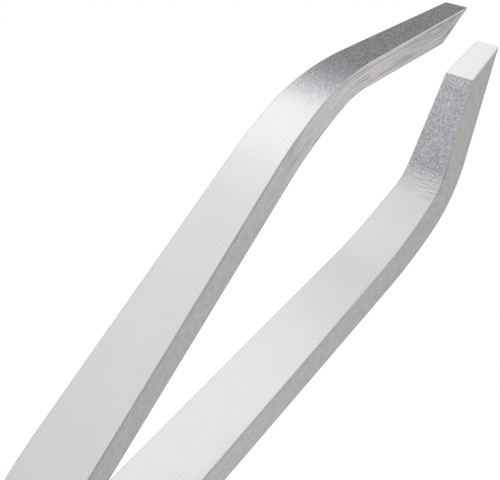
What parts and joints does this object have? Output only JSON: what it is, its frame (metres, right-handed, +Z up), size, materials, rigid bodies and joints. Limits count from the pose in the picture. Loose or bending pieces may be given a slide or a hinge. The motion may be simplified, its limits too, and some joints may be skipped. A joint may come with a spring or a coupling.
{
  "type": "tweezers",
  "caption": "Spring tweezers of steel strip: sprung arms spot-welded at the rear, with one edge straight and one tapering, bent inward at the tips and ground to square gripping facets.",
  "frame": {"origin": "middle of the box around the tweezers, on the surface that they lie on", "axes": "+X along the tweezers to the tips, +Y to the left arm, +Z up across the arms' width"},
  "size_m": [0.096, 0.0166, 0.0088],
  "materials": {
    "satin_steel": "satin blasted faces, edges brushed lengthwise",
    "weld_steel": "dull fused steel"
  },
  "bodies": {
    "welded_end": {"left_arm_rear": "satin_steel", "right_arm_rear": "satin_steel", "spot_welds": "weld_steel"},
    "left_arm": {"left_arm_front": "satin_steel"},
    "right_arm": {"right_arm_front": "satin_steel"}
  },
  "joints": [
    {"name": "left_arm_flex", "type": "hinge", "parent": "welded_end", "child": "left_arm", "pos_m": [-0.022, 0.00115, 0.0044], "axis": [0, 0, -1], "range_deg": [0, 2], "stiffness_Nm_per_rad": 6.9},
    {"name": "right_arm_flex", "type": "hinge", "parent": "welded_end", "child": "right_arm", "pos_m": [-0.022, -0.00115, 0.0044], "axis": [0, 0, 1], "range_deg": [0, 2], "stiffness_Nm_per_rad": 6.9}
  ],
  "couplings": [
    {"joint": "right_arm_flex", "follows": "left_arm_flex", "ratio": 1}
  ]
}
